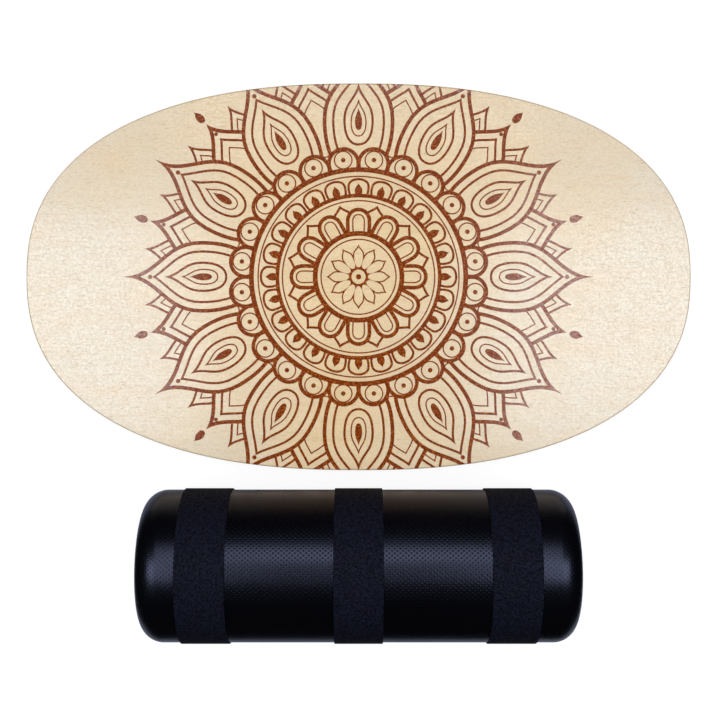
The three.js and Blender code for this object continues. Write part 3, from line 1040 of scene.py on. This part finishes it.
def recess_shape():
    """The cross recess: a cross drawn into the head along X, narrower with depth."""
    look = settings().screws
    tip, side = look.recess_span / 2, look.recess_width / 2
    shape = bmesh.new()
    corners = []
    for turn in range(4):
        swing = Matrix.Rotation(QUARTER_TURN * turn, 3, "X")
        for across, up in ((tip, -side), (tip, side), (side, side)):
            corners.append(shape.verts.new(swing @ Vector((-MM, across, up))))
    floor = drawn_copy(shape, [shape.faces.new(corners)], (look.recess_depth + MM, 0, 0))
    bmesh.ops.scale(shape, verts=floor, vec=(1, look.recess_taper, look.recess_taper))
    face_outwards(shape)
    return shape


def build_screws():
    look = settings().screws
    steel = material("Screw steel", steel_paint, {"Metallic": 1.0})
    bare_share = 0.6
    for name in SCREW_NODES:
        head, cone_end, length = screw_lines(name)
        thread_start = cone_end + look.smooth_length
        profile = [
            (0, 0), (head - look.head_chamfer, 0), (head, look.head_chamfer), (head, look.head_rim),
            (look.shank_radius, cone_end), (look.shank_radius, thread_start - look.thread_pitch / 2),
            (look.core_radius, thread_start), (look.core_radius, length - look.tip_length), (0, length),
        ]
        shape = cut_away(spun(profile, SMALL_ROUND_STEPS), recess_shape())
        ridge = thread_shape(length - look.tip_length * bare_share - thread_start)
        shift(ridge, (thread_start, 0, 0))
        add_shape(shape, ridge)
        stand_up(shape, name)
        smooth_all(shape)
        piece(name.replace("stop_screw", "screw"), shape, steel, "board", "screw_steel", name)


def shell_line(inset):
    """One surface of the shell's wall, `inset` inside its skin, from the far end's middle to the hole."""
    look = settings().roller
    slope_steps, corner_steps, straight_steps = 10, 20, 8
    end = SHELL_HALF_LENGTH - inset
    floor = end - look.dish_depth
    slope_start, rise = look.dish_radius - look.dish_slope, look.dish_slope / 3
    slope = interpolate_bezier(
        Vector((slope_start, floor)), Vector((slope_start + rise, floor)),
        Vector((look.dish_radius - rise, end)), Vector((look.dish_radius, end)), slope_steps,
    )
    bend = look.corner_radius
    corner = arc(
        SHELL_RADIUS - bend, SHELL_HALF_LENGTH - bend, bend - inset,
        QUARTER_TURN, -QUARTER_TURN, corner_steps,
    )
    far = [tuple(point) for point in slope] + corner
    radius, last = corner[-1]
    straight = [(radius, last - 2 * last * i / straight_steps) for i in range(1, straight_steps)]
    near = [(radius, -along) for radius, along in reversed(far)]
    return [(0, floor)] + far + straight + near + [(look.plug_hole_radius, -floor)]


def pit_share(spot):
    """How deep the pits are at a place on the skin, from 0 on the dished ends to 1.

    They are shallow where the corner starts, and deepen again round it.
    """
    look = settings().roller
    at_corner, deepening, straight_limit = 0.35, 1.1, -0.01
    face_width = SHELL_RADIUS - look.corner_radius - look.dish_radius
    outside_dish = (math.hypot(spot.y, spot.z) - look.dish_radius) / face_width
    past = (abs(spot.x) - SHELL_HALF_LENGTH + look.corner_radius) / look.corner_radius
    depth = 1.0 if past < straight_limit else min(at_corner + deepening * max(past, 0.0), 1.0)
    return min(max(outside_dish, 0.0), 1.0) * depth


def build_shell():
    look = settings().roller
    profile = shell_line(0.0) + list(reversed(shell_line(look.wall)))
    shape = spun(profile, look.turn_steps)
    skin_uv(shape)
    pitted = shape.verts.layers.float.new("pitted")
    for vert in shape.verts:
        vert[pitted] = pit_share(vert.co)
    shift_to_axle(shape, ROLLER_CENTRE.x)
    sheen = {"Specular IOR Level": 0.47, "Specular Tint": shade(202, 210, 255)}
    plastic = material("Roller plastic", shell_paint, sheen)
    piece("roller_skin", shape, plastic, "roller", "shell_plastic", "roller_shell", sharp=50)


def build_plug():
    look = settings().roller
    low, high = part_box("roller_plug")
    head, end = (high.z - low.z) / 2, high.x - low.x
    bend, bend_steps, seat = look.plug_head_round, 6, look.plug_head
    dimple_floor, dimple_rim = head * 0.55, head * 0.62
    shank = look.plug_hole_radius - look.plug_clearance
    barb = seat + look.plug_clearance + look.wall + look.plug_clearance
    profile = [
        (0, look.plug_dimple), (dimple_floor, look.plug_dimple), (dimple_rim, 0.0),
        *arc(head - bend, bend, bend, -QUARTER_TURN, QUARTER_TURN, bend_steps),
        (head, seat), (shank, seat), (shank, barb), (shank + look.plug_barb_height, barb),
        (shank, barb + look.plug_barb_length), (shank, end), (look.plug_bore_radius, end),
        (look.plug_bore_radius, seat), (0, seat),
    ]
    shape = spun(profile, PLUG_STEPS)
    shift_to_axle(shape, low.x)
    piece("hole_plug", shape, material("Plug plastic", plug_paint), "roller", "plug_plastic", "roller_plug")


def build_bands():
    look = settings().bands
    cloth = material("Band cloth", cloth_paint, {"Specular IOR Level": 0.06})
    bend, inner, gap = look.edge_round, BAND_RADIUS - look.thickness, look.joint_gap / BAND_RADIUS
    edge_steps, width_steps = 4, 6
    for place in BAND_NAMES:
        node = f"grip_band_{place}"
        low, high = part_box(node)
        half = (high.x - low.x) / 2
        side, skin = half - bend, BAND_RADIUS - bend
        right = arc(side, skin, bend, 0, QUARTER_TURN, edge_steps)
        left = arc(-side, skin, bend, QUARTER_TURN, QUARTER_TURN, edge_steps)
        first, last = right[-1][0], left[0][0]
        flat = [(first + (last - first) * i / width_steps, BAND_RADIUS) for i in range(1, width_steps)]
        outline = right + flat + left + [(-half, inner), (half, inner)]
        shape = spun(
            [(radius, along) for along, radius in outline], BAND_STEPS, closed=True,
            turn=FULL_TURN - gap, start=gap / 2 - look.joint_bearing,
        )
        skin_uv(shape, FULL_TURN * BAND_RADIUS)
        shift_to_axle(shape, (low.x + high.x) / 2)
        piece(f"grip_{place}", shape, cloth, "roller", "band_textile", node)


def seen_directly(w):
    """1 for what the camera sees directly, mirrored or through glass, and 0 for light on surfaces."""
    path = w.add("ShaderNodeLightPath").outputs
    direct = w.math("MAXIMUM", path["Is Camera Ray"], path["Is Glossy Ray"])
    return w.math("MAXIMUM", direct, path["Is Transmission Ray"])


def floor_material():
    """A pale floor that takes the object's shadow: part of its white is its own."""
    look = settings().stage
    made = bpy.data.materials.new("Floor")
    w = emptied(made)
    matt = w.add("ShaderNodeBsdfDiffuse", {"Color": look.floor_tone})
    spot = w.add("ShaderNodeTexCoord").outputs["Object"]
    away = w.add("ShaderNodeVectorMath", {0: spot}, operation="LENGTH").outputs["Value"]
    glow = w.remap(away, look.glow_start, look.glow_end, look.floor_glow, 1.0)
    level = w.add("ShaderNodeMix", {0: seen_directly(w), 2: look.fill, 3: glow}).outputs[0]
    own = w.add("ShaderNodeEmission", {"Color": WHITE, "Strength": level})
    both = w.add("ShaderNodeAddShader", {0: matt.outputs[0], 1: own.outputs[0]})
    w.add("ShaderNodeOutputMaterial", {"Surface": both.outputs[0]})
    return made


def card_material(name, tone):
    made = bpy.data.materials.new(name)
    w = emptied(made)
    matt = w.add("ShaderNodeBsdfDiffuse", {"Color": tone})
    w.add("ShaderNodeOutputMaterial", {"Surface": matt.outputs[0]})
    return made


def flat_sheet(name, width, length, place, finish):
    shape = bmesh.new()
    bmesh.ops.create_grid(shape, x_segments=1, y_segments=1, size=0.5)
    bmesh.ops.scale(shape, verts=shape.verts, vec=(width, length, 1))
    bmesh.ops.transform(shape, verts=shape.verts, matrix=place)
    made = object_of(name, shape)
    made.data.materials.append(finish)
    return made


def build_cards():
    """Dark cards round the set, met by reflections alone, that keep the black plastic's sides dark.

    A pale one on the floor, close round the roller, draws its thin bright rim.
    """
    look = settings().stage
    dark = card_material("Black card", look.dark_card)
    pale = card_material("Pale card", look.pale_card)
    reach, lift, margin = look.card_reach, look.card_lift, look.card_margin
    height = look.overhead_height + 100 * MM
    over_roller = Matrix.Translation((ROLLER_CENTRE.x, ROLLER_CENTRE.y, 2 * lift))
    upright = Matrix.Rotation(QUARTER_TURN, 4, "X")
    sideways = Matrix.Rotation(QUARTER_TURN, 4, "Z") @ upright
    width, length = 2 * (SHELL_HALF_LENGTH + margin), 2 * (SHELL_RADIUS + margin)
    cards = [flat_sheet("card_roller", width, length, over_roller, pale)]
    for name, spot, turn, tall in (
        ("floor", (0, 0, lift), Matrix.Identity(4), 2 * reach),
        ("ceiling", (0, 0, height), Matrix.Identity(4), 2 * reach),
        ("front", (0, -reach, height / 2), upright, height),
        ("back", (0, reach, height / 2), upright, height),
        ("left", (-reach, 0, height / 2), sideways, height),
        ("right", (reach, 0, height / 2), sideways, height),
    ):
        cards.append(flat_sheet(f"card_{name}", 2 * reach, tall, Matrix.Translation(spot) @ turn, dark))
    for card in cards:
        for meeting in ("camera", "diffuse", "transmission", "volume_scatter", "shadow"):
            setattr(card, f"visible_{meeting}", False)


def softbox(name, place, width, length, watts):
    lamp = bpy.data.lights.new(name, "AREA")
    lamp.shape = "RECTANGLE"
    lamp.size = width
    lamp.size_y = length
    lamp.energy = watts
    lamp.color = settings().stage.lamp_colour[:3]
    made = bpy.data.objects.new(name, lamp)
    made.location = place
    bpy.context.scene.collection.objects.link(made)


def build_world():
    fill = settings().stage.fill
    world = bpy.data.worlds.new("Studio")
    w = emptied(world)
    level = w.math("ADD", w.math("MULTIPLY", seen_directly(w), 1.0 - fill), fill)
    plain = w.add("ShaderNodeBackground", {"Color": WHITE, "Strength": level})
    w.add("ShaderNodeOutputWorld", {"Surface": plain.outputs[0]})
    bpy.context.scene.world = world


def build_stage():
    look = settings().stage
    scene = bpy.context.scene
    scene.view_settings.view_transform = "Standard"
    view = bpy.data.cameras.new("Camera")
    view.lens = look.lens
    view.shift_x = look.shift_x
    view.shift_y = look.shift_y
    camera = bpy.data.objects.new("Camera", view)
    camera.location = (0, look.camera_y, look.camera_height)
    scene.collection.objects.link(camera)
    scene.camera = camera
    flat_sheet("floor", look.floor_size, look.floor_size, Matrix.Identity(4), floor_material())
    build_cards()
    for side, sign in zip(SIDES, (-1, 1)):
        offset = sign * (look.softbox_gap + look.softbox_width) / 2
        place = (look.softbox_x + offset, look.softbox_y, look.softbox_height)
        softbox(f"softbox_{side}", place, look.softbox_width, look.softbox_length, look.softbox_watts)
    place = (0, look.overhead_y, look.overhead_height)
    softbox("softbox_overhead", place, look.overhead_width, look.overhead_length, look.overhead_watts)
    build_world()


class ROLABOLA_OT_stage(bpy.types.Operator):
    """Lay out the floor, the lamps, the world and the camera"""

    bl_idname = "rola_bola.stage"
    bl_label = "Stage"

    def execute(self, context):
        build_stage()
        return {"FINISHED"}


class ROLABOLA_OT_deck(bpy.types.Operator):
    """Build the deck's eleven layers with their rounded edges"""

    bl_idname = "rola_bola.deck"
    bl_label = "Deck"

    def execute(self, context):
        build_deck()
        return {"FINISHED"}


class ROLABOLA_OT_print(bpy.types.Operator):
    """Print the rosette on the face of the deck"""

    bl_idname = "rola_bola.rosette"
    bl_label = "Printed rosette"

    def execute(self, context):
        build_print()
        return {"FINISHED"}


class ROLABOLA_OT_stops(bpy.types.Operator):
    """Build the two stops under the deck, with their screw holes"""

    bl_idname = "rola_bola.stops"
    bl_label = "Stops"

    def execute(self, context):
        build_stops()
        return {"FINISHED"}


class ROLABOLA_OT_screws(bpy.types.Operator):
    """Build the countersunk screws that hold the stops"""

    bl_idname = "rola_bola.screws"
    bl_label = "Screws"

    def execute(self, context):
        build_screws()
        return {"FINISHED"}


class ROLABOLA_OT_shell(bpy.types.Operator):
    """Build the roller's moulded shell"""

    bl_idname = "rola_bola.shell"
    bl_label = "Roller shell"

    def execute(self, context):
        build_shell()
        return {"FINISHED"}


class ROLABOLA_OT_plug(bpy.types.Operator):
    """Build the plug in the roller's end"""

    bl_idname = "rola_bola.plug"
    bl_label = "Plug"

    def execute(self, context):
        build_plug()
        return {"FINISHED"}


class ROLABOLA_OT_bands(bpy.types.Operator):
    """Wrap the three grip bands round the roller"""

    bl_idname = "rola_bola.bands"
    bl_label = "Grip bands"

    def execute(self, context):
        build_bands()
        return {"FINISHED"}


OPERATORS = (
    ROLABOLA_OT_stage, ROLABOLA_OT_deck, ROLABOLA_OT_print, ROLABOLA_OT_stops,
    ROLABOLA_OT_screws, ROLABOLA_OT_shell, ROLABOLA_OT_plug, ROLABOLA_OT_bands,
)


class ROLABOLA_PT_parts(bpy.types.Panel):
    """Lists the pieces and their sizes"""

    bl_label = "Rola bola"
    bl_idname = "ROLABOLA_PT_parts"
    bl_space_type = "VIEW_3D"
    bl_region_type = "UI"
    bl_category = "Rola bola"

    def draw(self, context):
        for operator in OPERATORS:
            self.layout.operator(operator.bl_idname)
        for group in RolaBolaSettings.__annotations__:
            box = self.layout.box()
            box.label(text=group.title())
            values = getattr(context.scene.rola_bola, group)
            for name in values.__annotations__:
                box.prop(values, name)


CLASSES = (
    DeckSettings, PrintSettings, StopSettings, ScrewSettings, RollerSettings, BandSettings, StageSettings,
    RolaBolaSettings, *OPERATORS, ROLABOLA_PT_parts,
)


def register():
    for each in CLASSES:
        bpy.utils.register_class(each)
    bpy.types.Scene.rola_bola = PointerProperty(type=RolaBolaSettings)


def unregister():
    del bpy.types.Scene.rola_bola
    for each in reversed(CLASSES):
        bpy.utils.unregister_class(each)


def main():
    register()
    bpy.ops.rola_bola.stage()
    bpy.ops.rola_bola.deck()
    bpy.ops.rola_bola.rosette()
    bpy.ops.rola_bola.stops()
    bpy.ops.rola_bola.screws()
    bpy.ops.rola_bola.shell()
    bpy.ops.rola_bola.plug()
    bpy.ops.rola_bola.bands()
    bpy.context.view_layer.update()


if __name__ == "__main__":
    main()
